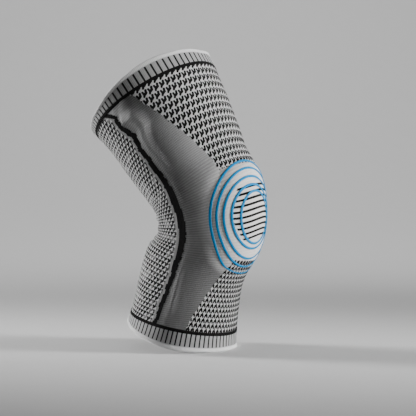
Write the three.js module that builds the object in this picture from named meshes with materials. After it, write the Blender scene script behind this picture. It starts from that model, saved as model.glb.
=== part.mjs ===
// Knee sleeve, bent as worn on a leg: a knitted tube with a gel ring inside round the kneecap.
// Millimetres, +Z up, +X out of the front of the knee, the wearer's outer side at -Y.
// The origin is the middle of the knee; lengths along the leg are measured from it.
import * as THREE from "three";

// Named sizes, mm
const THIGH_LENGTH = 137;      // knee to the black line under the top cuff
const SHIN_LENGTH = 119;       // knee to the black line over the bottom cuff
const THIGH_DEPTH = 148;       // front to back at the top line
const KNEE_DEPTH = 112;        // front to back at the knee
const CALF_DEPTH = 116;        // front to back at the bottom line
const WALL = 2.4;              // knitted wall
const GAP = 0.42;              // between neighbouring zones, measured along the line they meet on
const LINE_WIDTH = 2.2;        // black line beside each cuff
const LINE_PROUD = 0.2;
const BEND_RADIUS = 85;        // of the leg's centre line in the knee

// Named angles, degrees
const THIGH_LEAN = 34.5;       // thigh leans back
const SHIN_LEAN = 17.5;        // shin leans forward
const THIGH_PLANE = -0.8;      // turn of the top cuff's plane from square to the leg
const CALF_PLANE = -5.5;       // turn of the bottom cuff's plane
const PLANE_OFFSET = 40;       // mm from the knee where that turn begins
const PLANE_SPAN = 80;

// Back of the knee: flatter than round, with one fold where the calf starts
const PIT_FLATNESS = 0.9;
const PIT_HEIGHT = -8;
const PIT_REACH = 42;
const FOLD_OFFSET = -42;
const FOLD_SPAN = 5;
const FOLD_DEPTH = 2.6;
const FOLD_FADE = 60;
const FOLD_TURN = 110;         // degrees from the front where it begins
const FOLD_TURN_SPAN = 40;

// Cuffs, highest at the side. along: share of the half turn from the front to the back.
const TOP_CUFF_HEIGHT = 20;
const BOTTOM_CUFF_HEIGHT = 20.2;
const TOP_CUFF_EDGE = [
  { along: 0.00, height: 0.76 },
  { along: 0.14, height: 0.92 },
  { along: 0.28, height: 1.00 },
  { along: 0.40, height: 0.90 },
  { along: 0.50, height: 0.66 },
  { along: 0.60, height: 0.47 },
  { along: 0.73, height: 0.42 },
  { along: 1.00, height: 0.40 },
];
const BOTTOM_CUFF_EDGE = [
  { along: 0.00, height: 0.83 },
  { along: 0.18, height: 0.91 },
  { along: 0.35, height: 1.00 },
  { along: 0.47, height: 0.96 },
  { along: 0.61, height: 0.81 },
  { along: 0.78, height: 0.58 },
  { along: 1.00, height: 0.48 },
];
// Section of a cuff. rise: share of its height. out: shares of the wall, from the sleeve's face.
const CUFF_SECTION = [
  { rise: 0.00, out: 0.12 },
  { rise: 0.72, out: 0.33 },
  { rise: 0.88, out: 0.62 },
  { rise: 0.97, out: 0.46 },
  { rise: 1.00, out: -0.25 },
  { rise: 0.96, out: -0.96 },
  { rise: 0.84, out: -1.17 },
  { rise: 0.00, out: -1.00 },
];

// Leg shape. along: share of the shin length below the knee or of the thigh length above it.
// across and forward: shares of the size at that height. wide: share of across.
const LEG = [
  { along: -1.18, across: 1.028, forward: 0.000, wide: 1.035 },
  { along: -1.00, across: 1.000, forward: -0.026, wide: 1.035 },
  { along: -0.76, across: 0.974, forward: -0.052, wide: 1.020 },
  { along: -0.55, across: 0.946, forward: -0.057, wide: 1.010 },
  { along: -0.34, across: 0.935, forward: -0.009, wide: 0.995 },
  { along: -0.17, across: 0.958, forward: 0.058, wide: 0.980 },
  { along: 0.00, across: 1.000, forward: 0.083, wide: 0.970 },
  { along: 0.15, across: 0.994, forward: 0.082, wide: 0.980 },
  { along: 0.30, across: 0.975, forward: 0.059, wide: 0.990 },
  { along: 0.47, across: 0.992, forward: 0.062, wide: 1.000 },
  { along: 0.66, across: 0.995, forward: 0.067, wide: 1.020 },
  { along: 0.84, across: 0.992, forward: 0.069, wide: 1.035 },
  { along: 1.00, across: 0.997, forward: 0.061, wide: 1.050 },
  { along: 1.15, across: 0.982, forward: 0.052, wide: 1.050 },
];

// Zone edges, degrees round from the front. The front strip ends at frontEdge.
const FRONT_EDGE = [
  { along: -1.00, turn: 58 },
  { along: -0.84, turn: 53 },
  { along: -0.67, turn: 44 },
  { along: -0.48, turn: 35 },
  { along: -0.36, turn: 31 },
  { along: -0.28, turn: 27.5 },
  { along: -0.22, turn: 40 },
  { along: -0.15, turn: 48 },
  { along: -0.04, turn: 53 },
  { along: 0.07, turn: 51 },
  { along: 0.15, turn: 46 },
  { along: 0.20, turn: 42 },
  { along: 0.30, turn: 44 },
  { along: 0.47, turn: 51.5 },
  { along: 0.66, turn: 60 },
  { along: 1.00, turn: 75 },
];
// Middle of the black contour band and half its width
const BAND = [
  { along: -1.00, turn: 93, half: 2.1 },
  { along: -0.75, turn: 91.5, half: 2.4 },
  { along: -0.50, turn: 90, half: 2.7 },
  { along: -0.20, turn: 89, half: 2.7 },
  { along: 0.00, turn: 90.5, half: 2.7 },
  { along: 0.15, turn: 92, half: 2.7 },
  { along: 0.60, turn: 93, half: 2.4 },
  { along: 0.73, turn: 91.5, half: 2.2 },
  { along: 0.79, turn: 95, half: 2.2 },
  { along: 0.85, turn: 99, half: 2.0 },
  { along: 0.92, turn: 96, half: 2.2 },
  { along: 0.96, turn: 99.5, half: 2.6 },
  { along: 1.00, turn: 107, half: 2.8 },
];
const KNEECAP_TOP = 0.20;
const KNEECAP_BOTTOM = -0.28;

// Raised channels of the hidden stays. turn: degrees in front of the band's middle.
const CHANNEL_HEIGHT = 5.2;
const CHANNEL = [
  { along: -0.96, turn: 12, half: 8, height: 0.00 },
  { along: -0.80, turn: 12, half: 8, height: 0.38 },
  { along: -0.50, turn: 9, half: 6, height: 0.31 },
  { along: -0.30, turn: 9, half: 6, height: 0.00 },
  { along: 0.20, turn: 9, half: 6, height: 0.00 },
  { along: 0.40, turn: 9, half: 7, height: 0.50 },
  { along: 0.65, turn: 8.5, half: 8, height: 0.85 },
  { along: 0.84, turn: 15, half: 12, height: 1.00 },
  { along: 0.92, turn: 14, half: 12, height: 0.12 },
  { along: 1.00, turn: 20, half: 11, height: 0.00 },
];

// Gel ring round the kneecap, with the knit bulging over it
const PAD_OFFSET = -6;
const PAD_HALF_LENGTH = 33;
const PAD_HALF_TURN = 64;
const PAD_HOLE_LENGTH = 17.5;
const PAD_HOLE_TURN = 27;
const PAD_BULGE = 1.3;
const PAD_BULGE_EDGE = 0.25;
const PAD_CLEARANCE = 0.5;
const PAD_THICKNESS = 5.6;
// Section of the gel ring. share: of the way from hole to rim. depth: share of the thickness.
const PAD_SECTION = [
  { share: 0.04, depth: 0.00 },
  { share: 0.50, depth: 0.00 },
  { share: 0.96, depth: 0.00 },
  { share: 1.00, depth: 0.16 },
  { share: 0.88, depth: 0.61 },
  { share: 0.50, depth: 0.75 },
  { share: 0.28, depth: 0.79 },
  { share: 0.16, depth: 1.00 },
  { share: 0.05, depth: 0.93 },
  { share: 0.00, depth: 0.61 },
  { share: 0.00, depth: 0.14 },
];

// Blue rings on the kneecap, outermost first. middle and half: shares of the pad's half length,
// along the leg. aside: degrees from the front to the ring's middle. lean: degrees further aside
// at the top and less at the bottom. turn: half the ring's turn.
const PRESSURE_RINGS = [
  { middle: -0.26, half: 1.14, aside: 8, lean: 5, turn: 54 },
  { middle: -0.21, half: 0.94, aside: 9, lean: 3, turn: 47 },
  { middle: -0.20, half: 0.77, aside: 10, lean: 3, turn: 39 },
  { middle: -0.17, half: 0.59, aside: 11, lean: 2, turn: 30 },
  { middle: -0.18, half: 0.48, aside: 9, lean: 1, turn: 22 },
];
const RING_WIDTH = 1.9;
const RING_THICK = 0.5;
const RING_LIFT = 0.35;

// Fineness of the facets
const ROUND_STEPS = 48;
const RING_STEPS = 38;
const LEVELS = [
  -1, -0.84, -0.75, -0.67, -0.56, -0.48, -0.4, -0.36, -0.32, -0.28, -0.22, -0.15, -0.1, -0.04,
  0.01, 0.05, 0.1, 0.15, 0.2, 0.25, 0.3, 0.38, 0.47, 0.6, 0.73, 0.79, 0.85, 0.92, 0.96, 1,
];

const FULL_TURN = 360;

const radians = (degrees) => (degrees * Math.PI) / 180;
const nearTurn = (turn) => (turn > FULL_TURN / 2 ? turn - FULL_TURN : turn);
const clamp01 = (x) => Math.min(1, Math.max(0, x));
const smooth = (x) => clamp01(x) ** 2 * (3 - 2 * clamp01(x));
const mix = (a, b, t) => a + (b - a) * t;

// Heights are shares of the thigh above the knee and of the shin below it
const toMm = (along) => along * (along > 0 ? THIGH_LENGTH : SHIN_LENGTH);
const toShare = (mm) => mm / (mm > 0 ? THIGH_LENGTH : SHIN_LENGTH);

function rowAt(table, along) {
  let i = 0;
  while (i < table.length - 2 && along > table[i + 1].along) {
    i += 1;
  }
  const span = table[i + 1].along - table[i].along;
  return { i, t: (along - table[i].along) / span, span };
}

function linear(table, along, column) {
  const { i, t } = rowAt(table, along);
  return mix(table[i][column], table[i + 1][column], clamp01(t));
}

function slope(table, i, column) {
  const a = table[Math.max(0, i - 1)];
  const b = table[Math.min(table.length - 1, i + 1)];
  return (b[column] - a[column]) / (b.along - a.along);
}

// Smooth curve through the rows of a table
function curved(table, along, column) {
  const { i, t, span } = rowAt(table, along);
  const a = table[i][column];
  const b = table[i + 1][column];
  const da = slope(table, i, column) * span;
  const db = slope(table, i + 1, column) * span;
  const t2 = t * t;
  const t3 = t2 * t;
  return a * (2 * t3 - 3 * t2 + 1) + da * (t3 - 2 * t2 + t) + b * (3 * t2 - 2 * t3) + db * (t3 - t2);
}

// Centre line of the leg: straight shin, arc through the knee, straight thigh
function centreLine(mm) {
  const middle = radians((SHIN_LEAN - THIGH_LEAN) / 2);
  const reach = BEND_RADIUS * radians((SHIN_LEAN + THIGH_LEAN) / 2);
  const bent = Math.min(reach, Math.max(-reach, mm));
  const lean = middle - bent / BEND_RADIUS;
  const rest = mm - bent;
  return {
    x: BEND_RADIUS * (Math.cos(lean) - Math.cos(middle)) + rest * Math.sin(lean),
    z: BEND_RADIUS * (Math.sin(middle) - Math.sin(lean)) + rest * Math.cos(lean),
    lean,
  };
}

function planeTurn(mm) {
  const up = THIGH_PLANE * smooth((mm - PLANE_OFFSET) / PLANE_SPAN);
  const down = CALF_PLANE * smooth((-mm - PLANE_OFFSET) / PLANE_SPAN);
  return radians(up + down);
}

function legSize(mm) {
  const along = toShare(mm);
  const size = mix(KNEE_DEPTH, mm > 0 ? THIGH_DEPTH : CALF_DEPTH, Math.abs(along));
  const across = size * curved(LEG, along, "across");
  const forward = size * curved(LEG, along, "forward");
  return {
    front: across / 2 + forward,
    back: across / 2 - forward,
    side: (across / 2) * curved(LEG, along, "wide"),
  };
}

// Rounded bump, 1 in the middle and 0 from one half-width out
const bump = (x) => (Math.abs(x) < 1 ? (1 + Math.cos(Math.PI * x)) / 2 : 0);

function channelHeight(mm, turn) {
  const along = toShare(mm);
  const middle = linear(BAND, along, "turn") - curved(CHANNEL, along, "turn");
  const height = Math.max(0, linear(CHANNEL, along, "height"));
  return CHANNEL_HEIGHT * height * bump((Math.abs(turn) - middle) / linear(CHANNEL, along, "half"));
}

function padBulge(mm, turn) {
  const reach = Math.hypot((mm - PAD_OFFSET) / PAD_HALF_LENGTH, turn / PAD_HALF_TURN);
  return PAD_BULGE * smooth((1 + PAD_BULGE_EDGE - reach) / (2 * PAD_BULGE_EDGE));
}

function foldHeight(mm, turn) {
  const below = smooth((FOLD_OFFSET - mm) / FOLD_SPAN);
  const fade = smooth(1 - (FOLD_OFFSET - FOLD_SPAN - mm) / FOLD_FADE);
  const behind = smooth((Math.abs(turn) - FOLD_TURN) / FOLD_TURN_SPAN);
  return FOLD_DEPTH * below * fade * behind;
}

// Point of the sleeve: mm along the leg, degrees round from the front, mm out from the face
function legPoint(mm, turn, out) {
  const size = legSize(mm);
  const line = centreLine(mm);
  const lean = line.lean + planeTurn(mm);
  const near = nearTurn(turn);
  const lift = out + padBulge(mm, near) + foldHeight(mm, near);
  const c = Math.cos(radians(turn));
  const s = Math.sin(radians(turn));
  const flat = PIT_FLATNESS * Math.exp(-(((mm - PIT_HEIGHT) / PIT_REACH) ** 2));
  const power = c > 0 ? 1 : 2 / (2 + flat);
  const ahead = ((c > 0 ? size.front : size.back) + lift) * Math.sign(c) * Math.abs(c) ** power;
  const aside = (size.side + lift) * Math.sign(s) * Math.abs(s) ** power;
  return new THREE.Vector3(
    line.x + ahead * Math.cos(lean),
    -aside,
    line.z - ahead * Math.sin(lean),
  );
}

// Degrees that a length in mm covers round the leg at this height
const asTurn = (mm, length) => (length / legSize(mm).side) * (180 / Math.PI);

function addQuad(triangles, a, b, c, d) {
  triangles.push([a, b, c], [a, c, d]);
}

function meshOf(name, points, triangles, look) {
  const positions = new Float32Array(triangles.length * 9);
  triangles.flat().forEach((corner, k) => points[corner].toArray(positions, 3 * k));
  const geometry = new THREE.BufferGeometry();
  geometry.setAttribute("position", new THREE.BufferAttribute(positions, 3));
  geometry.computeVertexNormals();
  const mesh = new THREE.Mesh(geometry, new THREE.MeshStandardMaterial(look));
  mesh.name = name;
  return mesh;
}

function volumeOf(points, triangles) {
  return triangles.reduce(
    (sum, [a, b, c]) => sum + points[a].dot(points[b].clone().cross(points[c])),
    0,
  );
}

function closedMesh(name, points, triangles, look) {
  const outward = volumeOf(points, triangles) > 0;
  const faced = outward ? triangles : triangles.map(([a, b, c]) => [a, c, b]);
  return meshOf(name, points, faced, look);
}

// Closed ring: a section of corners carried round the leg
function sweptRing(name, steps, corners, pointAt, look) {
  const points = [];
  const triangles = [];
  for (let i = 0; i < steps; i += 1) {
    for (let j = 0; j < corners; j += 1) {
      points.push(pointAt(i / steps, j));
      const next = ((i + 1) % steps) * corners;
      const k = (j + 1) % corners;
      addQuad(triangles, i * corners + j, next + j, next + k, i * corners + k);
    }
  }
  return closedMesh(name, points, triangles, look);
}

// Patch of the knitted wall: rows of heights in mm, from startTurn to endTurn in columns
function wallPatch(name, heights, startTurn, endTurn, columns, look) {
  const rows = heights.length;
  const points = [];
  const at = (layer, row, column) => (layer * rows + row) * (columns + 1) + column;
  for (const layer of [0, 1]) {
    for (const mm of heights) {
      for (let column = 0; column <= columns; column += 1) {
        const turn = mix(startTurn(mm), endTurn(mm), column / columns);
        points.push(legPoint(mm, turn, layer === 0 ? channelHeight(mm, nearTurn(turn)) : -WALL));
      }
    }
  }
  const triangles = [];
  for (let row = 0; row < rows - 1; row += 1) {
    for (let column = 0; column < columns; column += 1) {
      addQuad(triangles, at(0, row, column), at(0, row, column + 1),
        at(0, row + 1, column + 1), at(0, row + 1, column));
      addQuad(triangles, at(1, row + 1, column), at(1, row + 1, column + 1),
        at(1, row, column + 1), at(1, row, column));
    }
  }
  for (let column = 0; column < columns; column += 1) {
    addQuad(triangles, at(0, 0, column + 1), at(0, 0, column), at(1, 0, column), at(1, 0, column + 1));
    addQuad(triangles, at(0, rows - 1, column), at(0, rows - 1, column + 1),
      at(1, rows - 1, column + 1), at(1, rows - 1, column));
  }
  for (let row = 0; row < rows - 1; row += 1) {
    addQuad(triangles, at(0, row, 0), at(0, row + 1, 0), at(1, row + 1, 0), at(1, row, 0));
    addQuad(triangles, at(0, row + 1, columns), at(0, row, columns),
      at(1, row, columns), at(1, row + 1, columns));
  }
  return closedMesh(name, points, triangles, look);
}

// Heights of a zone between two shares, stopping half a gap short of each end
function zoneHeights(low, high) {
  const inside = LEVELS.filter((along) => along > low && along < high).map(toMm);
  return [toMm(low) + GAP / 2, ...inside, toMm(high) - GAP / 2];
}

const bodyHeights = () => {
  const inside = LEVELS.filter((along) => Math.abs(along) < 1).map(toMm);
  const edge = LINE_WIDTH / 2 + GAP;
  return [-SHIN_LENGTH + edge, ...inside, THIGH_LENGTH - edge];
};

const frontEdge = (mm) => linear(FRONT_EDGE, toShare(mm), "turn");
const bandMiddle = (mm) => linear(BAND, toShare(mm), "turn");
const bandHalf = (mm) => linear(BAND, toShare(mm), "half");
const halfGap = (mm) => asTurn(mm, GAP / 2);

function borderLine(name, middle, look) {
  const corners = [
    { up: LINE_WIDTH / 2, out: LINE_PROUD },
    { up: LINE_WIDTH / 2, out: -WALL },
    { up: -LINE_WIDTH / 2, out: -WALL },
    { up: -LINE_WIDTH / 2, out: LINE_PROUD },
  ];
  return sweptRing(name, ROUND_STEPS, corners.length, (share, j) => {
    return legPoint(middle + corners[j].up, FULL_TURN * share, corners[j].out);
  }, look);
}

function cuffRing(name, start, direction, height, edge, look) {
  return sweptRing(name, ROUND_STEPS, CUFF_SECTION.length, (share, j) => {
    const corner = CUFF_SECTION[j];
    const top = height * curved(edge, 1 - Math.abs(1 - 2 * share), "height");
    return legPoint(start + direction * corner.rise * top, FULL_TURN * share, WALL * corner.out);
  }, look);
}

function gelRing(name, look) {
  return sweptRing(name, RING_STEPS, PAD_SECTION.length, (share, j) => {
    const corner = PAD_SECTION[j];
    const angle = 2 * Math.PI * share;
    const length = mix(PAD_HOLE_LENGTH, PAD_HALF_LENGTH, corner.share);
    const turn = mix(PAD_HOLE_TURN, PAD_HALF_TURN, corner.share);
    const depth = WALL + PAD_CLEARANCE + PAD_THICKNESS * corner.depth;
    return legPoint(PAD_OFFSET + length * Math.sin(angle), turn * Math.cos(angle), -depth);
  }, look);
}

function pressureRing(name, ring, look) {
  const corners = [[-0.5, 0], [0.5, 0], [0.5, 1], [-0.5, 1]];
  return sweptRing(name, RING_STEPS, corners.length, (share, j) => {
    const angle = 2 * Math.PI * share;
    const offset = corners[j][0] * RING_WIDTH;
    const stretch = (legSize(0).front + BEND_RADIUS) / BEND_RADIUS;
    const length = PAD_HALF_LENGTH * ring.half + offset / stretch;
    const mm = PAD_HALF_LENGTH * ring.middle + length * Math.sin(angle);
    const aside = ring.aside + ring.lean * Math.sin(angle);
    const turn = aside + (ring.turn + asTurn(0, offset)) * Math.cos(angle);
    return legPoint(mm, turn, RING_LIFT + corners[j][1] * RING_THICK);
  }, look);
}

const CUFF_LOOK = { color: 0xb2b2b2, roughness: 0.9 };
const BLACK_LOOK = { color: 0x0c0c0c, roughness: 0.85 };
const FRONT_LOOK = { color: 0xadadad, roughness: 0.9 };
const KNEECAP_LOOK = { color: 0xb4b2b0, roughness: 0.9 };
const SIDE_LOOK = { color: 0x575757, roughness: 0.9 };
const MESH_LOOK = { color: 0x9c9c9c, roughness: 0.9 };
const GEL_LOOK = { color: 0xd9d8de, roughness: 0.3 };
const RING_LOOK = { color: 0x199cde, roughness: 0.5 };

function sidePieces(prefix, side) {
  const turned = (edge) => (mm) => side * edge(mm);
  const bandFront = (mm) => bandMiddle(mm) - bandHalf(mm);
  const bandBack = (mm) => bandMiddle(mm) + bandHalf(mm);
  const panel = wallPatch(`${prefix}_side_panel`, bodyHeights(),
    turned((mm) => frontEdge(mm) + halfGap(mm)), turned((mm) => bandFront(mm) - halfGap(mm)),
    8, SIDE_LOOK);
  const band = wallPatch(`${prefix}_contour_band`, bodyHeights(),
    turned((mm) => bandFront(mm) + halfGap(mm)), turned((mm) => bandBack(mm) - halfGap(mm)),
    1, BLACK_LOOK);
  return [panel, band];
}

function frontPiece(name, heights, columns, look) {
  const edge = (mm) => frontEdge(mm) - halfGap(mm);
  return wallPatch(name, heights, (mm) => -edge(mm), edge, columns, look);
}

function backPiece(name, columns, look) {
  const edge = (mm) => bandMiddle(mm) + bandHalf(mm) + halfGap(mm);
  return wallPatch(name, bodyHeights(), edge, (mm) => FULL_TURN - edge(mm), columns, look);
}

const sleeve = new THREE.Group();
sleeve.name = "knee_sleeve";

const lineEdge = LINE_WIDTH / 2 + GAP;
const topHeights = zoneHeights(KNEECAP_TOP, 1);
topHeights[topHeights.length - 1] = THIGH_LENGTH - lineEdge;
const bottomHeights = zoneHeights(-1, KNEECAP_BOTTOM);
bottomHeights[0] = -SHIN_LENGTH + lineEdge;

sleeve.add(cuffRing("thigh_cuff", THIGH_LENGTH + lineEdge, 1, TOP_CUFF_HEIGHT, TOP_CUFF_EDGE, CUFF_LOOK));
sleeve.add(cuffRing("calf_cuff", -SHIN_LENGTH - lineEdge, -1, BOTTOM_CUFF_HEIGHT, BOTTOM_CUFF_EDGE, CUFF_LOOK));
sleeve.add(borderLine("thigh_border_line", THIGH_LENGTH, BLACK_LOOK));
sleeve.add(borderLine("calf_border_line", -SHIN_LENGTH, BLACK_LOOK));
sleeve.add(frontPiece("thigh_front_panel", topHeights, 18, FRONT_LOOK));
sleeve.add(frontPiece("shin_front_panel", bottomHeights, 12, FRONT_LOOK));
sleeve.add(frontPiece("kneecap_panel", zoneHeights(KNEECAP_BOTTOM, KNEECAP_TOP), 16, KNEECAP_LOOK));
sleeve.add(...sidePieces("outer", 1));
sleeve.add(...sidePieces("inner", -1));
sleeve.add(backPiece("back_mesh_panel", 20, MESH_LOOK));
sleeve.add(gelRing("patella_gel_ring", GEL_LOOK));
PRESSURE_RINGS.forEach((ring, i) => {
  sleeve.add(pressureRing(`pressure_ring_${i + 1}`, ring, RING_LOOK));
});

export default sleeve;
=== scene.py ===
"""Knee sleeve: knitted surfaces, gel ring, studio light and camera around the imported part."""

import math

import bpy
import numpy as np
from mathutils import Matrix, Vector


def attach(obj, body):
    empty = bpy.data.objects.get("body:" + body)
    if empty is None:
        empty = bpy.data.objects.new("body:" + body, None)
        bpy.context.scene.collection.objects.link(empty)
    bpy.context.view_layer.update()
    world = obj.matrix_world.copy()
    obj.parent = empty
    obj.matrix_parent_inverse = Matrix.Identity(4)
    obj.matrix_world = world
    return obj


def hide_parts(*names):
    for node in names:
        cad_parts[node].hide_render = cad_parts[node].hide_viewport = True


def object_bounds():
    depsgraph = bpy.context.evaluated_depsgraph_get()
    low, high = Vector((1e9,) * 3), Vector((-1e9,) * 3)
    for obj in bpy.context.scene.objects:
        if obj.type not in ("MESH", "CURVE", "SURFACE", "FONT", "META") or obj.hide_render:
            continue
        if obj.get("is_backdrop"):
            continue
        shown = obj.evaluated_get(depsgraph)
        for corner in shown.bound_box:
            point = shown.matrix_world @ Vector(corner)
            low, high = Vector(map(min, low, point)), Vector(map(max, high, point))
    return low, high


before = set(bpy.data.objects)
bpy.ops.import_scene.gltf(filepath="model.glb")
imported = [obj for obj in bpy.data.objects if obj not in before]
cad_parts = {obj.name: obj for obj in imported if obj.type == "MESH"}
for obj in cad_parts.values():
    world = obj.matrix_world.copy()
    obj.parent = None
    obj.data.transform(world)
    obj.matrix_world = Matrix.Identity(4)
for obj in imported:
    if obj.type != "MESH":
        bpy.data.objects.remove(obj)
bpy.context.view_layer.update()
BODY = "root"
MM = 0.001
FULL_TURN = 360.0

# Named sizes of the sleeve, mm and degrees
THIGH_LENGTH = 137.0
SHIN_LENGTH = 119.0
THIGH_DEPTH = 148.0
KNEE_DEPTH = 112.0
CALF_DEPTH = 116.0
WALL = 2.4
LINE_WIDTH = 2.2
BEND_RADIUS = 85.0
THIGH_LEAN = 34.5
SHIN_LEAN = 17.5
THIGH_PLANE = -0.8
CALF_PLANE = -5.5
PLANE_OFFSET = 40.0
PLANE_SPAN = 80.0
PIT_FLATNESS = 0.9
PIT_HEIGHT = -8.0
PIT_REACH = 42.0
FOLD_OFFSET = -42.0
FOLD_SPAN = 2.5
FOLD_DEPTH = 2.6
FOLD_FADE = 60.0
FOLD_TURN = 110.0
FOLD_TURN_SPAN = 40.0
BEND_REACH = BEND_RADIUS * math.radians((SHIN_LEAN + THIGH_LEAN) / 2)
WALES = 72
WALE_TURN = FULL_TURN / WALES

# Cuff edges: share of the half turn from the front to the back, share of the cuff's height
TOP_CUFF_HEIGHT = 20.0
BOTTOM_CUFF_HEIGHT = 20.2
TOP_CUFF_WAVES = 9
BOTTOM_CUFF_WAVES = 7
TOP_CUFF_EDGE = np.array((
    (0.00, 0.76), (0.14, 0.92), (0.28, 1.00), (0.40, 0.90), (0.50, 0.66), (0.60, 0.47),
    (0.73, 0.42), (1.00, 0.40),
))
BOTTOM_CUFF_EDGE = np.array((
    (0.00, 0.83), (0.18, 0.91), (0.35, 1.00), (0.47, 0.96), (0.61, 0.81), (0.78, 0.58), (1.00, 0.48),
))
# Cuff section: rise as a share of the cuff's height, out as a share of the wall
CUFF_SECTION = (
    (0.00, 0.12), (0.40, 0.21), (0.72, 0.33), (0.80, 0.42), (0.88, 0.62), (0.95, 0.58),
    (0.99, 0.25), (1.00, -0.25), (0.99, -0.71), (0.95, -1.00), (0.84, -1.17), (0.40, -1.04),
    (0.00, -1.00),
)
CUFF_LAST_OUTER = 7

# Leg shape: along, across, forward, wide
LEG = np.array((
    (-1.18, 1.028, 0.000, 1.035), (-1.00, 1.000, -0.026, 1.035), (-0.76, 0.974, -0.052, 1.020),
    (-0.55, 0.946, -0.057, 1.010), (-0.34, 0.935, -0.009, 0.995), (-0.17, 0.958, 0.058, 0.980),
    (0.00, 1.000, 0.083, 0.970), (0.15, 0.994, 0.082, 0.980), (0.30, 0.975, 0.059, 0.990),
    (0.47, 0.992, 0.062, 1.000), (0.66, 0.995, 0.067, 1.020), (0.84, 0.992, 0.069, 1.035),
    (1.00, 0.997, 0.061, 1.050), (1.15, 0.982, 0.052, 1.050),
))
# Zone edges: along, degrees from the front
FRONT_EDGE = np.array((
    (-1.00, 58), (-0.84, 53), (-0.67, 44), (-0.48, 35), (-0.36, 31), (-0.28, 27.5), (-0.22, 40),
    (-0.15, 48), (-0.04, 53), (0.07, 51), (0.15, 46), (0.20, 42), (0.30, 44), (0.47, 51.5),
    (0.66, 60), (1.00, 75),
))
# Black band: along, degrees from the front, half width
BAND = np.array((
    (-1.00, 93, 2.1), (-0.75, 91.5, 2.4), (-0.50, 90, 2.7), (-0.20, 89, 2.7), (0.00, 90.5, 2.7),
    (0.15, 92, 2.8), (0.60, 93, 2.9), (0.73, 91.5, 3.0), (0.79, 95, 2.9), (0.85, 99, 2.4),
    (0.92, 96, 2.2), (0.96, 99.5, 2.6), (1.00, 107, 2.8),
))
# Stay channel: along, degrees in front of the band, half width, share of its height, which also
# scales the painted highlight on its crest
CHANNEL_HEIGHT = 5.2
CHANNEL = np.array((
    (-0.96, 12, 8, 0.00), (-0.80, 12, 8, 0.38), (-0.50, 9, 6, 0.31), (-0.30, 9, 6, 0.00),
    (0.20, 9, 6, 0.00), (0.40, 9, 7, 0.50), (0.65, 8.5, 8, 0.85), (0.84, 15, 12, 1.00),
    (0.92, 14, 12, 0.12), (1.00, 20, 11, 0.00),
))
# Height of the channel where the cloth lies over it: along, share of its height
CHANNEL_RELIEF = np.array((
    (-0.96, 0.00), (-0.80, 0.20), (-0.50, 0.16), (-0.30, 0.00), (0.20, 0.00), (0.40, 0.30),
    (0.65, 0.55), (0.84, 0.75), (0.92, 0.12), (1.00, 0.00),
))
KNEECAP_TOP = 0.20
KNEECAP_BOTTOM = -0.28

# Gel ring
PAD_OFFSET = -6.0
PAD_HALF_LENGTH = 33.0
PAD_HALF_TURN = 64.0
PAD_HOLE_LENGTH = 17.5
PAD_HOLE_TURN = 27.0
PAD_BULGE = 1.3
PAD_BULGE_EDGE = 0.25
PAD_CLEARANCE = 0.5
PAD_THICKNESS = 5.6
PAD_SECTION = (
    (0.04, 0.00), (0.50, 0.00), (0.96, 0.00), (1.00, 0.16), (0.97, 0.43), (0.88, 0.61),
    (0.50, 0.75), (0.28, 0.79), (0.21, 0.93), (0.14, 1.00), (0.05, 0.93), (0.00, 0.61),
    (0.00, 0.14),
)

# Blue rings: middle and half length as shares of the pad's half length, degrees aside, degrees
# further aside at the top, half turn
PRESSURE_RINGS = (
    (-0.26, 1.14, 8, 5, 54), (-0.21, 0.94, 9, 3, 47), (-0.20, 0.77, 10, 3, 39),
    (-0.17, 0.59, 11, 2, 30), (-0.18, 0.48, 9, 1, 22),
)
RING_WIDTH = 1.9
RING_THICK = 0.5
RING_LIFT = 0.35

# Fineness of the visible meshes
TURN_STEP = 1.0
ROW_STEP = 0.58
LINING_TURNS = 2
LINING_ROWS = 4
ROUND_STEPS = 360
OVAL_STEPS = 240
SECTION_COPIES = 3


def smooth(x):
    x = np.clip(x, 0.0, 1.0)
    return x * x * (3.0 - 2.0 * x)


def mix(a, b, t):
    return a + (b - a) * t


def share(mm):
    return np.where(mm > 0, mm / THIGH_LENGTH, mm / SHIN_LENGTH)


def linear(table, along, column):
    return np.interp(along, table[:, 0], table[:, column])


def curved(table, along, column):
    """Smooth curve through the rows of a table."""
    key = table[:, 0]
    value = table[:, column]
    last = len(key) - 1
    before = np.clip(np.arange(len(key)) - 1, 0, last)
    after = np.clip(np.arange(len(key)) + 1, 0, last)
    slope = (value[after] - value[before]) / (key[after] - key[before])
    i = np.clip(np.searchsorted(key, along, side="left") - 1, 0, last - 1)
    span = key[i + 1] - key[i]
    t = (along - key[i]) / span
    rise = value[i + 1] * (3 * t**2 - 2 * t**3) + value[i] * (2 * t**3 - 3 * t**2 + 1)
    return rise + span * (slope[i] * (t**3 - 2 * t**2 + t) + slope[i + 1] * (t**3 - t**2))


def centre_line(mm):
    middle = math.radians((SHIN_LEAN - THIGH_LEAN) / 2)
    bent = np.clip(mm, -BEND_REACH, BEND_REACH)
    lean = middle - bent / BEND_RADIUS
    rest = mm - bent
    x = BEND_RADIUS * (np.cos(lean) - math.cos(middle)) + rest * np.sin(lean)
    z = BEND_RADIUS * (math.sin(middle) - np.sin(lean)) + rest * np.cos(lean)
    return x, z, lean


def leg_size(mm):
    along = share(mm)
    size = mix(KNEE_DEPTH, np.where(mm > 0, THIGH_DEPTH, CALF_DEPTH), np.abs(along))
    across = size * curved(LEG, along, 1)
    forward = size * curved(LEG, along, 2)
    return across / 2 + forward, across / 2 - forward, across / 2 * curved(LEG, along, 3)


def plane_turn(mm):
    up = THIGH_PLANE * smooth((mm - PLANE_OFFSET) / PLANE_SPAN)
    down = CALF_PLANE * smooth((-mm - PLANE_OFFSET) / PLANE_SPAN)
    return np.radians(up + down)


def near_turn(turn):
    return np.where(turn > FULL_TURN / 2, turn - FULL_TURN, turn)


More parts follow.
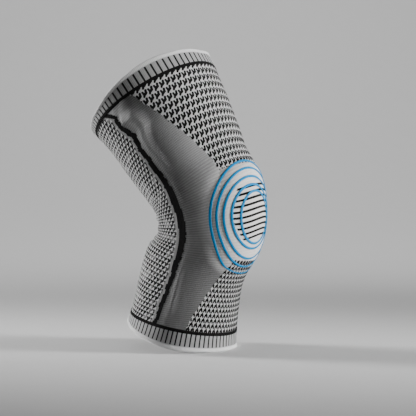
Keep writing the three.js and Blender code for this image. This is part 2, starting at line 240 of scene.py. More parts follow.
def form_lift(mm, turn):
    """Bulge over the gel ring, and the fold behind the knee."""
    reach = np.hypot((mm - PAD_OFFSET) / PAD_HALF_LENGTH, turn / PAD_HALF_TURN)
    pad = PAD_BULGE * smooth((1 + PAD_BULGE_EDGE - reach) / (2 * PAD_BULGE_EDGE))
    below = smooth((FOLD_OFFSET - mm) / FOLD_SPAN)
    fade = smooth(1 - (FOLD_OFFSET - FOLD_SPAN - mm) / FOLD_FADE)
    return pad + FOLD_DEPTH * below * fade * smooth((np.abs(turn) - FOLD_TURN) / FOLD_TURN_SPAN)


def leg_point(mm, turn, out):
    """Points in metres: mm along the leg, degrees from the front, mm out from the face."""
    mm, turn, out = np.broadcast_arrays(mm, turn, out)
    front, back, side = leg_size(mm)
    x, z, lean = centre_line(mm)
    lean = lean + plane_turn(mm)
    lift = out + form_lift(mm, near_turn(turn))
    c = np.cos(np.radians(turn))
    s = np.sin(np.radians(turn))
    flat = PIT_FLATNESS * np.exp(-(((mm - PIT_HEIGHT) / PIT_REACH) ** 2))
    power = np.where(c > 0, 1.0, 2.0 / (2.0 + flat))
    ahead = (np.where(c > 0, front, back) + lift) * np.sign(c) * np.abs(c) ** power
    aside = (side + lift) * np.sign(s) * np.abs(s) ** power
    return MM * np.stack([x + ahead * np.cos(lean), -aside, z - ahead * np.sin(lean)], -1)


def bump(x):
    return np.where(np.abs(x) < 1, (1 + np.cos(np.pi * x)) / 2, 0.0)


# Relief of the knit, mm
RIB_PITCH = 2.2
RIB_SLANT = 0.10


def channel_share(mm, turn):
    along = share(mm)
    middle = linear(BAND, along, 1) - curved(CHANNEL, along, 1)
    return bump((np.abs(turn) - middle) / linear(CHANNEL, along, 2))


def ripple(mm, turn):
    """Slow unevenness of stretched cloth, the same on every run."""
    a = np.sin(mm / 13.0 + np.radians(turn) * 3.0) * np.sin(np.radians(turn) * 4.0 - mm / 31.0)
    b = np.sin(mm / 7.3 - np.radians(turn) * 5.0 + 1.3) * np.sin(mm / 23.0 + 0.7)
    return 0.16 * a + 0.10 * b


def side_relief(mm, turn):
    along = share(mm)
    channel = channel_share(mm, turn)
    height = CHANNEL_HEIGHT * linear(CHANNEL_RELIEF, along, 1) * channel
    ribs = np.sin(2 * np.pi * (mm + RIB_SLANT * np.abs(turn)) / RIB_PITCH)
    near_top = smooth((along - 0.78) / 0.1) * smooth((np.abs(turn) - 72) / 10)
    pucker = 0.16 * near_top * np.sin(np.abs(turn) * 0.62 + mm * 0.33)
    return height + (0.14 + 0.20 * channel) * ribs + pucker + ripple(mm, turn)


def front_relief(mm, turn):
    return 0.10 * np.sin(2 * np.pi * turn / (WALE_TURN / 2)) + 0.5 * ripple(mm, turn)


def kneecap_relief(mm, turn):
    return 0.06 * np.sin(2 * np.pi * mm / 1.8) + 0.3 * ripple(mm, turn)


def band_relief(mm, turn):
    return 0.12 * np.sin(2 * np.pi * mm / RIB_PITCH) + 0.15 + ripple(mm, turn)


def back_relief(mm, turn):
    fold = smooth((np.abs(near_turn(turn)) - 120) / 35)
    near_pit = np.exp(-(((mm - PIT_HEIGHT) / 34.0) ** 2))
    creases = 0.8 * fold * near_pit * np.sin(mm / 3.1 + 0.6 * np.sin(np.radians(turn) * 5))
    return 0.12 * np.sin(2 * np.pi * turn / (WALE_TURN / 2)) + creases + ripple(mm, turn)


# Tone, 0 to 1: how far it is from the zone's dark yarn to its light one; on the side panels it also
# carries painted light and painted highlights
PAD_TONE_LENGTH = 41.0
PAD_TONE_TURN = 62.0


def no_tone(mm, turn):
    return 0.0 * turn


def pad_tone(mm, turn):
    """Light knit over the kneecap, fading out over the gel ring."""
    reach = np.hypot((mm - PAD_OFFSET) / PAD_TONE_LENGTH, near_turn(turn) / PAD_TONE_TURN)
    inner = smooth((1.00 - reach) / 0.34)
    outer = smooth((1.24 - reach) / 0.22)
    return 0.62 * inner + 0.38 * outer


def side_yarn_and_painted_light(mm, turn):
    """Light kneecap knit fading in, and painted light: painted fill near the thigh panel, painted
    highlights on the channel and on the patch under the top cuff, and painted light low on the side.
    """
    along = share(mm)
    aside = np.abs(turn)
    channel = channel_share(mm, turn) ** 2
    # painted highlight on the crest of the stay channel
    crest_highlight = np.where(along > 0, 0.34, 0.10) * channel * linear(CHANNEL, along, 3)
    # painted highlight on the puckered patch under the top cuff
    near_top = 0.50 * smooth((along - 0.83) / 0.08) * smooth((aside - 78) / 9)
    # painted fill light on the side next to the front panels
    painted_fill_near_front = 0.34 * smooth((86 - aside) / 18) * smooth((along + 0.35) / 0.5)
    painted_fill_near_front = painted_fill_near_front * smooth((0.92 - along) / 0.30)
    # painted light in the shaded valley low on the side, in front of the channel
    low = 0.13 * bump((aside - 76) / 18) * smooth(-along / 0.3)
    return np.clip(pad_tone(mm, turn) + crest_highlight + near_top + painted_fill_near_front + low, 0.0, 1.0)


def edging_tone(mm, turn):
    """1 on the plain edging of the back knit, beside the black band."""
    return smooth((band_edges(mm)[1] + 3.2 - np.abs(near_turn(turn))) / 1.0)


# Zones, in steps as the stitches make them
EDGE_ROW = 4.0
EDGE_TURN = 1.0


def stepped(value, step):
    return np.round(value / step) * step


def front_edge(mm):
    along = share(stepped(mm, EDGE_ROW))
    return stepped(linear(FRONT_EDGE, along, 1), EDGE_TURN)


def band_edges(mm):
    """Degrees from the front where the black band begins and ends."""
    along = share(mm)
    jag = (0.3 + 0.6 * smooth(np.abs(along) / 0.6)) * np.sin(mm * 0.47) * np.sin(mm * 0.19 + 1.0)
    middle = linear(BAND, along, 1) - jag
    half = linear(BAND, along, 2)
    return stepped(middle - half, EDGE_TURN), stepped(middle + half, EDGE_TURN)


def in_front(mm, turn):
    return np.abs(turn) < front_edge(mm)


def in_thigh(mm, turn):
    return in_front(mm, turn) & (mm > KNEECAP_TOP * THIGH_LENGTH)


def in_shin(mm, turn):
    return in_front(mm, turn) & (mm < KNEECAP_BOTTOM * SHIN_LENGTH)


def in_kneecap(mm, turn):
    inside = (mm <= KNEECAP_TOP * THIGH_LENGTH) & (mm >= KNEECAP_BOTTOM * SHIN_LENGTH)
    return in_front(mm, turn) & inside


def in_side(mm, turn):
    return (np.abs(turn) >= front_edge(mm)) & (np.abs(turn) < band_edges(mm)[0])


def in_band(mm, turn):
    low, high = band_edges(mm)
    return (np.abs(turn) >= low) & (np.abs(turn) < high)


def in_back(mm, turn):
    return np.abs(near_turn(turn)) >= band_edges(mm)[1]


# Meshes
WELD_DISTANCE = 1e-6


def new_mesh(name, points, faces, uv, tone=None):
    """uv: for each point, wales round the leg and mm along it."""
    mesh = bpy.data.meshes.new(name)
    mesh.from_pydata(points.tolist(), [], faces.tolist())
    layer = mesh.uv_layers.new(name="knit")
    corners = np.empty(len(mesh.loops), dtype=np.int32)
    mesh.loops.foreach_get("vertex_index", corners)
    layer.data.foreach_set("uv", uv[corners].astype(np.float32).ravel())
    if tone is not None:
        values = mesh.attributes.new("tone", "FLOAT", "POINT").data
        values.foreach_set("value", tone.astype(np.float32))
    mesh.polygons.foreach_set("use_smooth", np.ones(len(faces), dtype=bool))
    mesh.update()
    piece = bpy.data.objects.new(name, mesh)
    bpy.context.collection.objects.link(piece)
    return piece


def finish_piece(piece, material, slot, *nodes):
    piece.data.materials.append(material)
    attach(piece, BODY)
    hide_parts(*nodes)


BODY_LOW = -SHIN_LENGTH + LINE_WIDTH / 2
BODY_HIGH = THIGH_LENGTH - LINE_WIDTH / 2
ROWS = LINING_ROWS * round((BODY_HIGH - BODY_LOW) / ROW_STEP / LINING_ROWS)
HEIGHTS = np.linspace(BODY_LOW, BODY_HIGH, ROWS + 1)


def zone_cells(turns, heights, inside, relief, tone, inward):
    """Faces of one grid whose middle lies in the zone."""
    mm, turn = np.meshgrid(heights, turns, indexing="ij")
    middle_mm, middle_turn = np.meshgrid(
        (heights[1:] + heights[:-1]) / 2, (turns[1:] + turns[:-1]) / 2, indexing="ij"
    )
    rows, columns = np.nonzero(inside(middle_mm, middle_turn))
    width = len(turns)
    corner = rows * width + columns
    faces = np.stack([corner, corner + 1, corner + width + 1, corner + width], -1)
    if inward:
        faces = faces[:, ::-1]
    used, index = np.unique(faces, return_inverse=True)
    points = leg_point(mm, turn, relief(mm, turn)).reshape(-1, 3)[used]
    uv = np.stack([turn / WALE_TURN, mm], -1).reshape(-1, 2)[used]
    return points, index.reshape(faces.shape), uv, tone(mm, turn).reshape(-1)[used]


def lining_relief(mm, turn):
    return -WALL + 0.0 * turn


def zone_mesh(name, inside, relief, tone, first_turn, last_turn):
    """Outer face and coarser lining of one zone."""
    count = round((last_turn - first_turn) / TURN_STEP)
    turns = np.linspace(first_turn, last_turn, count + 1)
    outer = zone_cells(turns, HEIGHTS, inside, relief, tone, False)
    lining_turns = turns[::LINING_TURNS]
    inner = zone_cells(lining_turns, HEIGHTS[::LINING_ROWS], inside, lining_relief, tone, True)
    points = np.concatenate([outer[0], inner[0]])
    faces = np.concatenate([outer[1], inner[1] + len(outer[0])])
    uv = np.concatenate([outer[2], inner[2]])
    return new_mesh(name, points, faces, uv, np.concatenate([outer[3], inner[3]]))


def swept_mesh(name, points, around, across):
    """Closed ring from points[step, corner].

    around and across: the pattern's place at each step and each corner, and where it closes.
    """
    steps, corners = points.shape[:2]
    i, j = np.meshgrid(np.arange(steps), np.arange(corners), indexing="ij")
    width = corners + 1
    here = i * width + j
    faces = np.stack([here + 1, here + width + 1, here + width, here], -1)
    # the last corner and the last step repeat the first ones, so that the pattern meets
    closed = np.concatenate([points, points[:, :1]], 1)
    closed = np.concatenate([closed, closed[:1]], 0)
    u, v = np.meshgrid(around, across, indexing="ij")
    uv = np.stack([u, v], -1)
    piece = new_mesh(name, closed.reshape(-1, 3), faces.reshape(-1, 4), uv.reshape(-1, 2))
    piece.modifiers.new("weld", "WELD").merge_threshold = WELD_DISTANCE
    return piece


def steps_round(count, full):
    """Even steps once round, as a column."""
    return np.linspace(0, full, count, endpoint=False)[:, None]


def spline_section(section, copies):
    """More points on a closed section, through its corners."""
    table = np.array(section)
    count = len(table)
    steps = np.arange(count * copies) / copies
    i = steps.astype(int)
    t = (steps - i)[:, None]
    a, b = table[(i - 1) % count], table[i]
    c, d = table[(i + 1) % count], table[(i + 2) % count]
    return b + 0.5 * t * (c - a + t * (2 * a - 5 * b + 4 * c - d + t * (3 * (b - c) + d - a)))


def cuff_mesh(name, start, direction, full_height, edge, waves):
    """Cuff from its black line, up for direction 1 and down for -1."""
    section = spline_section(CUFF_SECTION, SECTION_COPIES) * (1.0, WALL)
    section[:, 0] = np.clip(section[:, 0], 0.0, 1.0)
    rise, out = section.T
    turn = steps_round(ROUND_STEPS * 2, FULL_TURN)
    height = full_height * curved(edge, 1 - np.abs(1 - turn / (FULL_TURN / 2)), 1)
    ribs = 0.10 * np.sin(2 * np.pi * turn / (WALE_TURN / 4)) * (out > 0)
    rim = 0.25 * smooth((rise - 0.8) / 0.1) * np.sin(np.radians(turn) * waves)
    points = leg_point(start + direction * (rise * height + rim), turn, out + ribs)
    # distance from the black line: 0 to 1 up the outer face, 1 to 2 down the inner one
    outer = np.arange(len(section)) <= CUFF_LAST_OUTER * SECTION_COPIES
    way = np.where(outer, rise, 2.0 - rise)
    around = np.append(turn, FULL_TURN) / WALE_TURN
    return swept_mesh(name, points, around, np.append(way, 2.0))


def line_mesh(name, middle):
    edge = LINE_WIDTH / 2
    section = spline_section((
        (-edge, -WALL), (-edge, 0.0), (-1.6 * edge, 0.25), (-1.1 * edge, 0.55), (1.1 * edge, 0.55),
        (1.6 * edge, 0.25), (edge, 0.0), (edge, -WALL),
    ), 2)
    across, out = section.T
    turn = steps_round(ROUND_STEPS, FULL_TURN)
    points = leg_point(middle + across, turn, out)
    around = np.append(turn, FULL_TURN) / WALE_TURN
    return swept_mesh(name, points, around, np.append(across, across[0]))


def gel_mesh(name):
    section = spline_section(PAD_SECTION, SECTION_COPIES)
    across = np.clip(section[:, 0], 0.0, 1.0)
    rise = np.clip(section[:, 1], 0.0, None)
    angle = steps_round(OVAL_STEPS, 2 * np.pi)
    length = mix(PAD_HOLE_LENGTH, PAD_HALF_LENGTH, across)
    turn = mix(PAD_HOLE_TURN, PAD_HALF_TURN, across)
    depth = WALL + PAD_CLEARANCE + PAD_THICKNESS * rise
    points = leg_point(PAD_OFFSET + length * np.sin(angle), turn * np.cos(angle), -depth)
    return swept_mesh(name, points, np.append(angle, 2 * np.pi), np.append(across, across[0]))


def ring_mesh(name, middle_share, half_share, aside, lean, half_turn):
    section = spline_section(((-0.6, 0.0), (0.6, 0.0), (0.54, 0.75), (0.0, 1.0), (-0.54, 0.75)), 2)
    across, rise = section.T
    angle = steps_round(OVAL_STEPS, 2 * np.pi)
    front, _, side = (float(size) for size in leg_size(np.array(0.0)))
    offset = across * RING_WIDTH
    middle = PAD_HALF_LENGTH * middle_share
    length = PAD_HALF_LENGTH * half_share + offset * BEND_RADIUS / (front + BEND_RADIUS)
    half = half_turn + np.degrees(offset / side)
    turn = aside + lean * np.sin(angle) + half * np.cos(angle)
    out = RING_LIFT + rise * RING_THICK
    points = leg_point(middle + length * np.sin(angle), turn, out)
    return swept_mesh(name, points, np.append(angle, 2 * np.pi), np.append(across, across[0]))


# Shader building

class Shader:
    """Small helper that wires math nodes in one node tree."""

    def __init__(self, tree):
        self.tree = tree

    def node(self, kind, **values):
        made = self.tree.nodes.new(kind)
        for key, value in values.items():
            setattr(made, key, value)
        return made

    def plug(self, socket, value):
        if isinstance(value, bpy.types.NodeSocket):
            self.tree.links.new(value, socket)
        else:
            socket.default_value = value

    def math(self, operation, a, b=0.0, c=0.0):
        made = self.node("ShaderNodeMath", operation=operation)
        for socket, value in zip(made.inputs, (a, b, c)):
            self.plug(socket, value)
        return made.outputs[0]

    def add(self, a, b):
        return self.math("ADD", a, b)

    def sub(self, a, b):
        return self.math("SUBTRACT", a, b)

    def mul(self, a, b):
        return self.math("MULTIPLY", a, b)

    def div(self, a, b):
        return self.math("DIVIDE", a, b)

    def sine(self, a):
        return self.math("SINE", a)

    def wrap(self, a):
        """a brought into -0.5 to 0.5."""
        return self.sub(self.math("FRACT", self.add(a, 0.5)), 0.5)

    def between(self, a, low, high):
        """0 below low, 1 above high, smooth between; falls if low > high."""
        made = self.node("ShaderNodeMapRange", interpolation_type="SMOOTHSTEP")
        rising = low < high
        for key, value in (
            ("Value", a), ("From Min", min(low, high)), ("From Max", max(low, high)),
            ("To Min", 0.0 if rising else 1.0), ("To Max", 1.0 if rising else 0.0),
        ):
            self.plug(made.inputs[key], value)
        return made.outputs["Result"]

    def noise(self, scale, detail=3.0):
        made = self.node("ShaderNodeTexNoise")
        made.inputs["Scale"].default_value = scale
        made.inputs["Detail"].default_value = detail
        self.tree.links.new(self.position(), made.inputs["Vector"])
        return made.outputs["Fac"]

    def position(self):
        return self.node("ShaderNodeTexCoord").outputs["Object"]

    def knit_coordinates(self):
        uv = self.node("ShaderNodeUVMap", uv_map="knit")
        split = self.node("ShaderNodeSeparateXYZ")
        self.tree.links.new(uv.outputs["UV"], split.inputs[0])
        return split.outputs[0], split.outputs[1]

    def tone(self):
        return self.node("ShaderNodeAttribute", attribute_name="tone").outputs["Fac"]

    def between_values(self, share, a, b):
        """a where share is 0, b where it is 1."""
        return self.add(a, self.mul(share, self.sub(b, a)))

    def grey(self, value, tint=(1.0, 1.0, 1.0)):
        """Colour from a brightness socket and a constant tint."""
        made = self.node("ShaderNodeCombineColor")
        for socket, part in zip(made.inputs, tint):
            self.plug(socket, self.mul(value, part))
        return made.outputs[0]


def stroke_group():
    """Distance in mm from a point to one stroke of a motif on a brick lattice."""
    tree = bpy.data.node_groups.new("motif_stroke", "ShaderNodeTree")
    for name in ("wale", "mm", "row mm", "wale mm", "at x", "at y", "half x", "half y"):
        tree.interface.new_socket(name, in_out="INPUT", socket_type="NodeSocketFloat")
    tree.interface.new_socket("distance", in_out="OUTPUT", socket_type="NodeSocketFloat")
    s = Shader(tree)
    given = s.node("NodeGroupInput").outputs
    # nearest row, then nearest wale of that row, which is shifted by half a wale
    down = s.div(s.sub(given["mm"], given["at y"]), given["row mm"])
    row = s.math("ROUND", down)
    y = s.mul(s.sub(down, row), given["row mm"])
    across = s.sub(given["wale"], s.div(given["at x"], given["wale mm"]))
    x = s.mul(s.wrap(s.add(across, s.mul(row, 0.5))), given["wale mm"])
    # distance to the segment from -half to +half
    length = s.add(s.mul(given["half x"], given["half x"]), s.mul(given["half y"], given["half y"]))
    dot = s.add(s.mul(x, given["half x"]), s.mul(y, given["half y"]))
    t = s.math("MAXIMUM", s.math("MINIMUM", s.div(dot, length), 1.0), -1.0)
    dx = s.sub(x, s.mul(t, given["half x"]))
    dy = s.sub(y, s.mul(t, given["half y"]))
    distance = s.math("SQRT", s.add(s.mul(dx, dx), s.mul(dy, dy)))
    leave = s.node("NodeGroupOutput")
    tree.links.new(distance, leave.inputs["distance"])
    return tree


STROKE = stroke_group()

# Motifs: strokes (from x, from y, to x, to y, width), mm, y up the leg
THIGH_MOTIF = (
    (-2.1, 2.4, -1.4, 0.1, 2.4), (-1.3, -0.3, 0.8, -1.3, 3.0), (1.5, 1.8, 1.1, -0.8, 2.2),
    (1.1, -1.2, 2.1, -3.0, 2.3),
)
SHIN_MOTIF = (
    (-1.5, -1.7, -0.8, 0.2, 2.0), (-0.7, 0.3, 0.6, 0.4, 2.7), (1.4, -1.6, 0.8, 0.2, 2.0),
    (0.1, 0.4, -0.4, 2.2, 1.9),
)
BACK_MOTIF = (
    (-1.4, 1.0, -0.2, -0.3, 2.5), (1.2, 0.9, 0.1, -0.3, 2.5), (0.3, -0.4, 1.0, -1.5, 2.2),
)


def motif(s, wale, mm, strokes, row_mm, wale_mm, soft=0.2):
    """1 on the dark yarn of a repeated motif, 0 elsewhere."""
    dark = None
    for x0, y0, x1, y1, width in strokes:
        made = s.node("ShaderNodeGroup", node_tree=STROKE)
        values = {
            "wale": wale, "mm": mm, "row mm": row_mm, "wale mm": wale_mm,
            "at x": (x0 + x1) / 2, "at y": (y0 + y1) / 2,
            "half x": (x1 - x0) / 2, "half y": (y1 - y0) / 2,
        }
        for key, value in values.items():
            s.plug(made.inputs[key], value)
        inside = s.between(made.outputs["distance"], width / 2 + soft, width / 2 - soft)
        dark = inside if dark is None else s.math("MAXIMUM", dark, inside)
    return dark


def stitch_height(s, wale, mm):
    """Rows of small V stitches, 0 to 1."""
    column = s.wrap(s.mul(wale, 4.0))
    slant = s.mul(s.math("ABSOLUTE", column), 1.3)
    loop = s.math("ABSOLUTE", s.sine(s.mul(s.add(s.div(mm, 1.25), slant), math.pi)))
    groove = s.between(s.math("ABSOLUTE", column), 0.5, 0.34)
    return s.mul(loop, s.add(0.45, s.mul(groove, 0.55)))


def new_material(name, constants):
    """A material with constants on its shader's own sockets, and the helper to build on it."""
    material = bpy.data.materials.new(name)
    material.use_nodes = True
    shader = material.node_tree.nodes["Principled BSDF"]
    for key, value in constants.items():
        shader.inputs[key].default_value = value
    return material, Shader(material.node_tree)


def dress(s, colour, height, strength):
    """Colour, and height in mm as a bump, on the material's shader."""
    shader = s.tree.nodes["Principled BSDF"]
    relief = s.node("ShaderNodeBump")
    relief.inputs["Strength"].default_value = strength
    relief.inputs["Distance"].default_value = MM
    s.plug(relief.inputs["Height"], height)
    s.plug(shader.inputs["Base Color"], colour)
    s.plug(shader.inputs["Normal"], relief.outputs[0])


def knit_material(name, paint, sheen=0.03):
    """paint(s, wale, mm) gives the colour and the height in mm for the bump."""
    material, s = new_material(name, {
        "Roughness": 0.95, "Sheen Weight": sheen, "Sheen Roughness": 0.5, "Specular IOR Level": 0.04,
    })
    colour, height = paint(s, *s.knit_coordinates())
    dress(s, colour, height, 0.8)
    return material


def smooth_material(name, constants, bright, tint, unevenness, grain, strength):
    """bright: low and range. unevenness and grain: scales of the noise in colour and in height."""
    material, s = new_material(name, constants)
    value = s.add(bright[0], s.mul(s.noise(unevenness), bright[1]))
    dress(s, s.grey(value, tint), s.noise(grain), strength)
    return material


# Brightness of the yarns
LIGHT = 0.50
DARK = 0.004
SIDE_GREY = 0.085
THIGH_LIGHT = LIGHT * 0.82
SHIN_LIGHT = LIGHT * 0.74
BACK_LIGHT = LIGHT * 0.86
EDGING_LIGHT = LIGHT * 0.42
KNEECAP_LIGHT = LIGHT * 0.92
# the cuff's ribbed body is the rim's light yarn made darker: painted shade of the cuff's middle
CUFF_LIGHT_WITH_PAINTED_SHADE = LIGHT * 0.46
RIM_LIGHT = LIGHT * 0.90

# Motifs' pitch along the leg and across a wale, mm
THIGH_PITCH = (8.0, 6.3)
SHIN_PITCH = (5.8, 5.1)
BACK_PITCH = (4.6, 5.2)
# More rows of motifs along the front of the bend, as a share
THIGH_STRETCH = 0.9
SHIN_STRETCH = 0.15

# The kneecap's black lines: mm along the leg, and an oval round them in wales
LINE_PITCH = 3.58
FIRST_LINE = -20.2
OVAL_MIDDLE = -4.3
OVAL_HALF_LENGTH = 18.4
OVAL_HALF_WALES = 8.6


def yarn(s, base, amount=0.16, scale=260.0):
    """Brightness of one yarn, a little uneven."""
    return s.mul(base, s.add(1.0 - amount / 2, s.mul(s.noise(scale), amount)))


def front_rows(s, mm, end, stretch):
    """mm along the leg, counted longer in the bend. end: 1 on the thigh, -1 on the shin."""
    into_bend = s.math("MAXIMUM", s.sub(BEND_REACH, s.mul(mm, end)), 0.0)
    return s.sub(mm, s.mul(into_bend, stretch * end))


def mixed(s, dark, bright):
    """Brightness with the dark yarn where dark is 1."""
    return s.add(s.mul(bright, s.sub(1.0, dark)), s.mul(dark, DARK))


def two_tone(strokes, pitch, light, end, stretch):
    def paint(s, wale, mm):
        dark = motif(s, wale, front_rows(s, mm, end, stretch), strokes, *pitch)
        loops = stitch_height(s, wale, mm)
        # the light yarn darker in the grooves between stitch loops: painted shade
        bright = s.mul(yarn(s, light, 0.3), s.add(0.44, s.mul(loops, 0.70)))
        height = s.sub(s.mul(loops, 0.30), s.mul(dark, 0.35))
        return s.grey(mixed(s, dark, bright)), height
    return paint


def back_paint(s, wale, mm):
    edging = s.tone()
    dark = motif(s, wale, mm, BACK_MOTIF, *BACK_PITCH)
    uneven = s.between(s.noise(120.0, 2.0), 0.30, 0.50)
    loops = stitch_height(s, wale, mm)
    light = s.between_values(edging, BACK_LIGHT, EDGING_LIGHT)
    # the light yarn darker in the grooves between stitch loops: painted shade
    bright = s.mul(yarn(s, light, 0.4, 400.0), s.add(0.48, s.mul(loops, 0.64)))
    dark = s.mul(dark, s.add(0.65, s.mul(uneven, 0.35)))
    dark = s.mul(dark, s.sub(1.0, edging))
    return s.grey(mixed(s, dark, bright)), s.sub(s.mul(loops, 0.35), s.mul(dark, 0.5))


def side_value(s, mm, wale):
    """Dark ribbed yarn, passing into the light one with the tone, which on the side panels also
    holds painted light; the ribs are painted in as light and shade.
    """
    tone = s.tone()
    slant = s.mul(s.math("ABSOLUTE", wale), RIB_SLANT * WALE_TURN / RIB_PITCH)
    ribs = s.sine(s.mul(s.add(s.div(mm, RIB_PITCH), slant), 2 * math.pi))
    depth = s.between_values(tone, 0.20, 0.05)
    base = yarn(s, s.between_values(tone, SIDE_GREY, KNEECAP_LIGHT), 0.2)
    # ribs painted as light and shade in the colour, deeper on the dark yarn
    return s.mul(base, s.add(1.0, s.mul(ribs, depth)))


def side_paint(s, wale, mm):
    loops = stitch_height(s, wale, mm)
    # darker in the grooves between stitch loops: painted shade
    value = s.mul(side_value(s, mm, wale), s.add(0.85, s.mul(loops, 0.25)))
    return s.grey(value), s.mul(loops, 0.25)


def kneecap_paint(s, wale, mm):
    # short black lines inside an oval, rising towards the front, the lower ones more
    arch = s.between(s.math("ABSOLUTE", s.add(wale, 1.6)), 8.8, 0.0)
    level = s.sub(mm, s.mul(arch, s.sub(3.2, s.mul(mm, 0.09))))
    from_line = s.math("ABSOLUTE", s.wrap(s.div(s.sub(level, FIRST_LINE), LINE_PITCH)))
    line = s.between(from_line, 0.24, 0.18)
    high = s.div(s.sub(level, OVAL_MIDDLE), OVAL_HALF_LENGTH)
    above = s.mul(s.math("MAXIMUM", high, 0.0), 0.48)
    below = s.mul(s.math("MINIMUM", high, 0.0), -0.74)
    aside = s.div(wale, OVAL_HALF_WALES)
    oval = s.add(s.add(above, below), s.mul(aside, aside))
    inside = s.mul(s.between(oval, 1.02, 0.97), s.between(s.math("ABSOLUTE", high), 0.99, 0.96))
    dark = s.mul(line, inside)
    loops = stitch_height(s, wale, mm)
    # darker in the grooves between stitch loops: painted shade
    base = s.mul(side_value(s, mm, wale), s.add(0.90, s.mul(loops, 0.16)))
    height = s.sub(s.mul(loops, 0.22), s.mul(dark, 0.3))
    return s.grey(mixed(s, dark, base), (1.0, 0.985, 0.965)), height


def black_paint(s, wale, mm):
    loops = stitch_height(s, wale, mm)
    # lighter on the stitch loops and darker in the grooves between them: painted light and shade
    return s.grey(s.mul(yarn(s, DARK, 0.4), s.add(0.7, loops))), s.mul(loops, 0.35)


def cuff_paint(s, wale, way):
    # black ticks from the line to the plain rim
    tick = s.between(s.math("ABSOLUTE", s.wrap(wale)), 0.165, 0.125)
    tick = s.mul(tick, s.between(way, 0.74, 0.70))
    ribs = s.sine(s.mul(wale, 2 * math.pi * 4))
    # the ribbed body is darker than the rim of the same yarn, as painted shade
    light = s.between_values(s.between(way, 0.70, 0.80), CUFF_LIGHT_WITH_PAINTED_SHADE, RIM_LIGHT)
    # ribs painted as light and shade in the colour
    bright = s.mul(yarn(s, light, 0.25), s.add(0.90, s.mul(ribs, 0.12)))
    return s.grey(mixed(s, tick, bright)), s.sub(s.mul(ribs, 0.12), s.mul(tick, 0.3))


CUFF = knit_material("cuff_knit", cuff_paint)
BLACK = knit_material("black_knit", black_paint, sheen=0.0)
THIGH = knit_material(
    "thigh_knit", two_tone(THIGH_MOTIF, THIGH_PITCH, THIGH_LIGHT, 1, THIGH_STRETCH)
)
SHIN = knit_material("shin_knit", two_tone(SHIN_MOTIF, SHIN_PITCH, SHIN_LIGHT, -1, SHIN_STRETCH))
KNEECAP = knit_material("kneecap_knit", kneecap_paint)
SIDE = knit_material("side_knit", side_paint)
MESH = knit_material("mesh_knit", back_paint)
GEL = smooth_material(
    "silicone_gel", {"Roughness": 0.28, "Subsurface Weight": 0.3, "Subsurface Scale": 0.01},
    bright=(0.64, 0.08), tint=(0.98, 0.97, 1.03), unevenness=60.0, grain=500.0, strength=0.15,
)
BLUE = smooth_material(
    "ring_print", {"Roughness": 0.7, "Specular IOR Level": 0.1},
    bright=(0.92, 0.16), tint=(0.0, 0.13, 0.29), unevenness=300.0, grain=900.0, strength=0.2,
)

# The sleeve
finish_piece(
    zone_mesh("thigh_front", in_thigh, front_relief, no_tone, -80, 80),
    THIGH, "front_knit", "thigh_front_panel",
)
finish_piece(
    zone_mesh("shin_front", in_shin, front_relief, no_tone, -60, 60),
    SHIN, "front_knit", "shin_front_panel",
)
finish_piece(
    zone_mesh("kneecap", in_kneecap, kneecap_relief, pad_tone, -60, 60),
    KNEECAP, "kneecap_knit", "kneecap_panel",
)
for side, low, high in (("outer", 20, 116), ("inner", -116, -20)):
    finish_piece(
        zone_mesh(f"{side}_side", in_side, side_relief, side_yarn_and_painted_light, low, high),
        SIDE, "side_knit", f"{side}_side_panel",
    )
    finish_piece(
        zone_mesh(f"{side}_band", in_band, band_relief, no_tone, low, high),
        BLACK, "black_knit", f"{side}_contour_band",
    )
finish_piece(
    zone_mesh("back_mesh", in_back, back_relief, edging_tone, 80, 280),
    MESH, "mesh_knit", "back_mesh_panel",
)
line_offset = LINE_WIDTH / 2
finish_piece(
    cuff_mesh(
        "top_cuff", THIGH_LENGTH + line_offset, 1, TOP_CUFF_HEIGHT, TOP_CUFF_EDGE, TOP_CUFF_WAVES
    ),
    CUFF, "cuff_knit", "thigh_cuff",
)
finish_piece(
    cuff_mesh(
        "bottom_cuff", -SHIN_LENGTH - line_offset, -1, BOTTOM_CUFF_HEIGHT, BOTTOM_CUFF_EDGE,
        BOTTOM_CUFF_WAVES,
    ),
    CUFF, "cuff_knit", "calf_cuff",
)
finish_piece(line_mesh("top_line", THIGH_LENGTH), BLACK, "black_knit", "thigh_border_line")
finish_piece(line_mesh("bottom_line", -SHIN_LENGTH), BLACK, "black_knit", "calf_border_line")
finish_piece(gel_mesh("gel_ring"), GEL, "silicone", "patella_gel_ring")
for number, ring in enumerate(PRESSURE_RINGS, 1):
    piece = ring_mesh(f"blue_ring_{number}", *ring)
    finish_piece(piece, BLUE, "ring_print", f"pressure_ring_{number}")

# Camera at the photograph's viewing angle
CAMERA_AZIMUTH = 30.0
CAMERA_ELEVATION = 1.5
CAMERA_DISTANCE = 1.5
VIEW_WIDTH = 0.44928
TARGET = np.array([0.0004, 0.0002, 0.008])

# Floor and backdrop: metres away from the camera, and metres up
FLOOR_GREY = 0.50
FLOOR_DEPTH = (-3.0, -1.5, 0.0, 1.2, 1.8, 2.2, 2.5, 2.7, 2.8, 2.8)
FLOOR_RISE = (0.0, 0.0, 0.0, 0.0, 0.05, 0.2, 0.5, 1.0, 2.0, 4.0)
FLOOR_HALF_WIDTH = 5.0


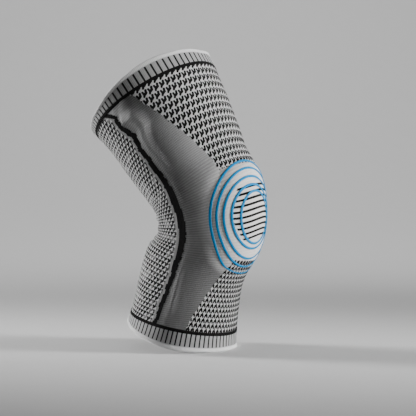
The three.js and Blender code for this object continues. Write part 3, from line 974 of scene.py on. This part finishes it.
def studio_floor():
    """Floor at the sleeve's lowest point, curving up into a backdrop behind it."""
    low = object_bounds()[0][2]
    across = np.linspace(-FLOOR_HALF_WIDTH, FLOOR_HALF_WIDTH, 9)
    angle = math.radians(CAMERA_AZIMUTH)
    ahead = np.array([-math.sin(angle), math.cos(angle)])
    right = np.array([math.cos(angle), math.sin(angle)])
    points = [
        (*(ahead * d + right * a), low + r)
        for d, r in zip(FLOOR_DEPTH, FLOOR_RISE) for a in across
    ]
    width = len(across)
    faces = [
        (i * width + j, i * width + j + 1, (i + 1) * width + j + 1, (i + 1) * width + j)
        for i in range(len(FLOOR_DEPTH) - 1) for j in range(width - 1)
    ]
    mesh = bpy.data.meshes.new("studio_floor")
    mesh.from_pydata(points, [], faces)
    mesh.polygons.foreach_set("use_smooth", [True] * len(faces))
    floor = bpy.data.objects.new("studio_floor", mesh)
    bpy.context.collection.objects.link(floor)
    floor.modifiers.new("smooth", "SUBSURF").render_levels = 3
    material, s = new_material("studio_paper", {"Roughness": 0.9})
    value = s.add(FLOOR_GREY - 0.01, s.mul(s.noise(40.0), 0.02))
    s.plug(s.tree.nodes["Principled BSDF"].inputs["Base Color"], s.grey(value))
    mesh.materials.append(material)
    floor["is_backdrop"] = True


def toward(azimuth, elevation):
    """Unit step toward a direction in degrees; azimuth 0 is the outer side, 90 the front."""
    a = math.radians(azimuth)
    e = math.radians(elevation)
    return np.array([math.sin(a) * math.cos(e), -math.cos(a) * math.cos(e), math.sin(e)])


def studio_camera():
    data = bpy.data.cameras.new("camera")
    data.sensor_fit = "HORIZONTAL"
    data.angle = 2 * math.atan(VIEW_WIDTH / 2 / CAMERA_DISTANCE)
    camera = bpy.data.objects.new("camera", data)
    camera.location = TARGET + toward(CAMERA_AZIMUTH, CAMERA_ELEVATION) * CAMERA_DISTANCE
    camera.rotation_euler = (math.radians(90 - CAMERA_ELEVATION), 0, math.radians(CAMERA_AZIMUTH))
    bpy.context.collection.objects.link(camera)
    bpy.context.scene.camera = camera


# Soft panels: azimuth, elevation, distance, size, power, spread
LIGHT_AIM = np.array([0.0, 0.0, 0.02])
PANELS = {
    "key_front": (108, 8, 1.5, (0.4, 1.0), 8, 45),
    "rim_back": (-78, 9, 1.4, (0.4, 1.0), 7.5, 45),
    "fill": (25, 20, 1.7, (1.2, 1.0), 1.6, 90),
    "top": (20, 78, 1.6, (1.0, 0.7), 1.0, 90),
}
BACKDROP_POWER = 50
WORLD_LIGHT = 0.04


def area_light(name, location, tilt, turn, size, power, spread=180):
    """Rectangular light, tilted from straight down and turned, in degrees."""
    data = bpy.data.lights.new(name, "AREA")
    data.shape = "RECTANGLE"
    data.size, data.size_y = size
    data.energy = power
    data.spread = math.radians(spread)
    light = bpy.data.objects.new(name, data)
    light.location = location
    light.rotation_euler = (math.radians(tilt), 0, math.radians(turn))
    bpy.context.collection.objects.link(light)


def studio_light():
    for name, (azimuth, elevation, distance, size, power, spread) in PANELS.items():
        location = LIGHT_AIM + toward(azimuth, elevation) * distance
        area_light(name, location, 90 - elevation, azimuth, size, power, spread)
    # behind the sleeve, facing the backdrop
    behind = -0.9 * toward(CAMERA_AZIMUTH, 0) + (0, 0, 1.3)
    area_light("backdrop", behind, 55, CAMERA_AZIMUTH, (3.0, 0.6), BACKDROP_POWER)
    world = bpy.data.worlds.new("studio")
    world.use_nodes = True
    background = world.node_tree.nodes["Background"]
    background.inputs["Color"].default_value = (1, 1, 1, 1)
    background.inputs["Strength"].default_value = WORLD_LIGHT
    bpy.context.scene.world = world


studio_floor()
studio_camera()
studio_light()

bpy.context.view_layer.update()
